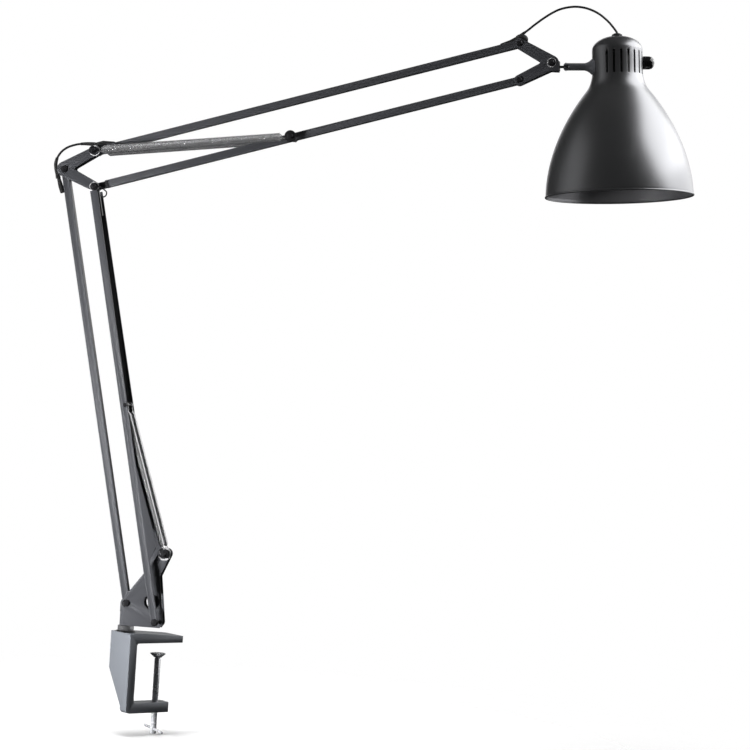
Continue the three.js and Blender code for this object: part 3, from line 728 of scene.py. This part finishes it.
def makeWasher(name, look):
    low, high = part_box(look["over"])
    centre = (low + high) / 2
    head = (high.z - low.z) / 2
    inner, outer, thick = head + 0.00004, head + look["rim"], look["thick"]
    ring = turned(name + "_washer", [(inner, 0), (outer, 0), (outer, thick * 0.75),
                                     (outer - 0.0002, thick), (inner, thick), (inner, 0)], 40, False, False)
    settle(ring, Matrix.Translation((centre.x, washerFace, centre.z)) @ Matrix.Rotation(math.pi / 2, 4, "X"))
    smooth(ring, 30)
    dress(ring, "washerSteel", look["body"])


for washerName, look in washers.items():
    makeWasher(washerName, look)
print("washers set")

# floor, world and lights
studio = {
    "floor": -0.1062, "floorReach": 5.0, "ambient": 0.03,
    "lights": {
        "roof": {"at": (-0.1, -0.1, 2.5), "aim": (-0.1, 0, 0), "size": (1.4, 1.4), "power": 72, "for": "matt"},
        "near": {"at": (-1.9, -2.0, 0.35), "aim": (-0.1, 0, 0.2), "size": (1.4, 1.4), "power": 32, "for": "matt"},
        "foot": {"at": (-0.95, -1.05, 0.05), "aim": (-0.12, 0, 0.1), "size": (0.5, 0.5), "power": 12,
                 "for": "matt", "spread": 60},
        "right": {"at": (2.1, 0.80, 0.75), "aim": (0.48, 0, 0.62), "size": (3.0, 1.7), "power": 36,
                  "for": "gloss"},
        "rightHigh": {"at": (1.76, 0.30, 1.80), "aim": (0.48, 0, 0.66), "size": (2.6, 1.3), "power": 38,
                      "for": "gloss"},
        "left": {"at": (-1.6, -0.35, 0.9), "aim": (0.3, 0, 0.5), "size": (1.8, 2.2), "power": 4, "for": "gloss"},
        "behind": {"at": (0.3, 2.8, 1.4), "aim": (0.2, 0, 0.4), "size": (2.6, 1.6), "power": 16, "for": "both"},
    },
}


def makeFloor():
    deselect()
    bpy.ops.mesh.primitive_grid_add(x_subdivisions=8, y_subdivisions=8, size=2 * studio["floorReach"],
                                    location=(0.2, 0, studio["floor"]))
    floor = named("floor")
    bpy.ops.object.transform_apply(location=True, rotation=True, scale=True)
    finish = Finish("paleFloor")
    spread = finish.node("ShaderNodeVectorMath", {"operation": "LENGTH"}, {0: finish.place()}, 1)
    fade = finish.ramp(spread / studio["floorReach"], [(0.03, 0), (0.15, 1)])
    matt = finish.node("ShaderNodeBsdfDiffuse", None, {"Color": (0.9, 0.9, 0.9, 1)})
    clear = finish.node("ShaderNodeBsdfTransparent")
    blend = finish.node("ShaderNodeMixShader", None, {0: fade, 1: matt, 2: clear})
    output = finish.tree.nodes.new("ShaderNodeOutputMaterial")
    finish.tree.links.new(blend.socket, output.inputs[0])
    floor.data.materials.append(finish.material)
    floor.visible_glossy = False
    floor.visible_diffuse = False


def makeWorld():
    world = bpy.data.worlds.new("paleRoom")
    bpy.context.scene.world = world
    world.use_nodes = True
    tree = world.node_tree
    tree.nodes.clear()
    ray = tree.nodes.new("ShaderNodeLightPath")
    seen = tree.nodes.new("ShaderNodeBackground")
    seen.inputs[0].default_value = (1, 1, 1, 1)
    seen.inputs[1].default_value = 1.0
    soft = tree.nodes.new("ShaderNodeBackground")
    soft.inputs[0].default_value = (0.97, 0.98, 1, 1)
    soft.inputs[1].default_value = studio["ambient"]
    either = tree.nodes.new("ShaderNodeMixShader")
    output = tree.nodes.new("ShaderNodeOutputWorld")
    tree.links.new(ray.outputs["Is Camera Ray"], either.inputs[0])
    tree.links.new(soft.outputs[0], either.inputs[1])
    tree.links.new(seen.outputs[0], either.inputs[2])
    tree.links.new(either.outputs[0], output.inputs[0])


def makeLights():
    for name, look in studio["lights"].items():
        deselect()
        bpy.ops.object.light_add(type="AREA", location=look["at"])
        light = named(name + "_light")
        light.data.shape = "RECTANGLE"
        light.data.size, light.data.size_y = look["size"]
        light.data.energy = look["power"]
        way = Vector(look["aim"]) - Vector(look["at"])
        light.rotation_euler = way.to_track_quat("-Z", "Y").to_euler()
        light.data.spread = math.radians(look.get("spread", 180))
        light.visible_glossy = look["for"] != "matt"
        light.visible_diffuse = look["for"] != "gloss"
        light.visible_camera = False


makeFloor()
makeWorld()
makeLights()
print("studio lit")
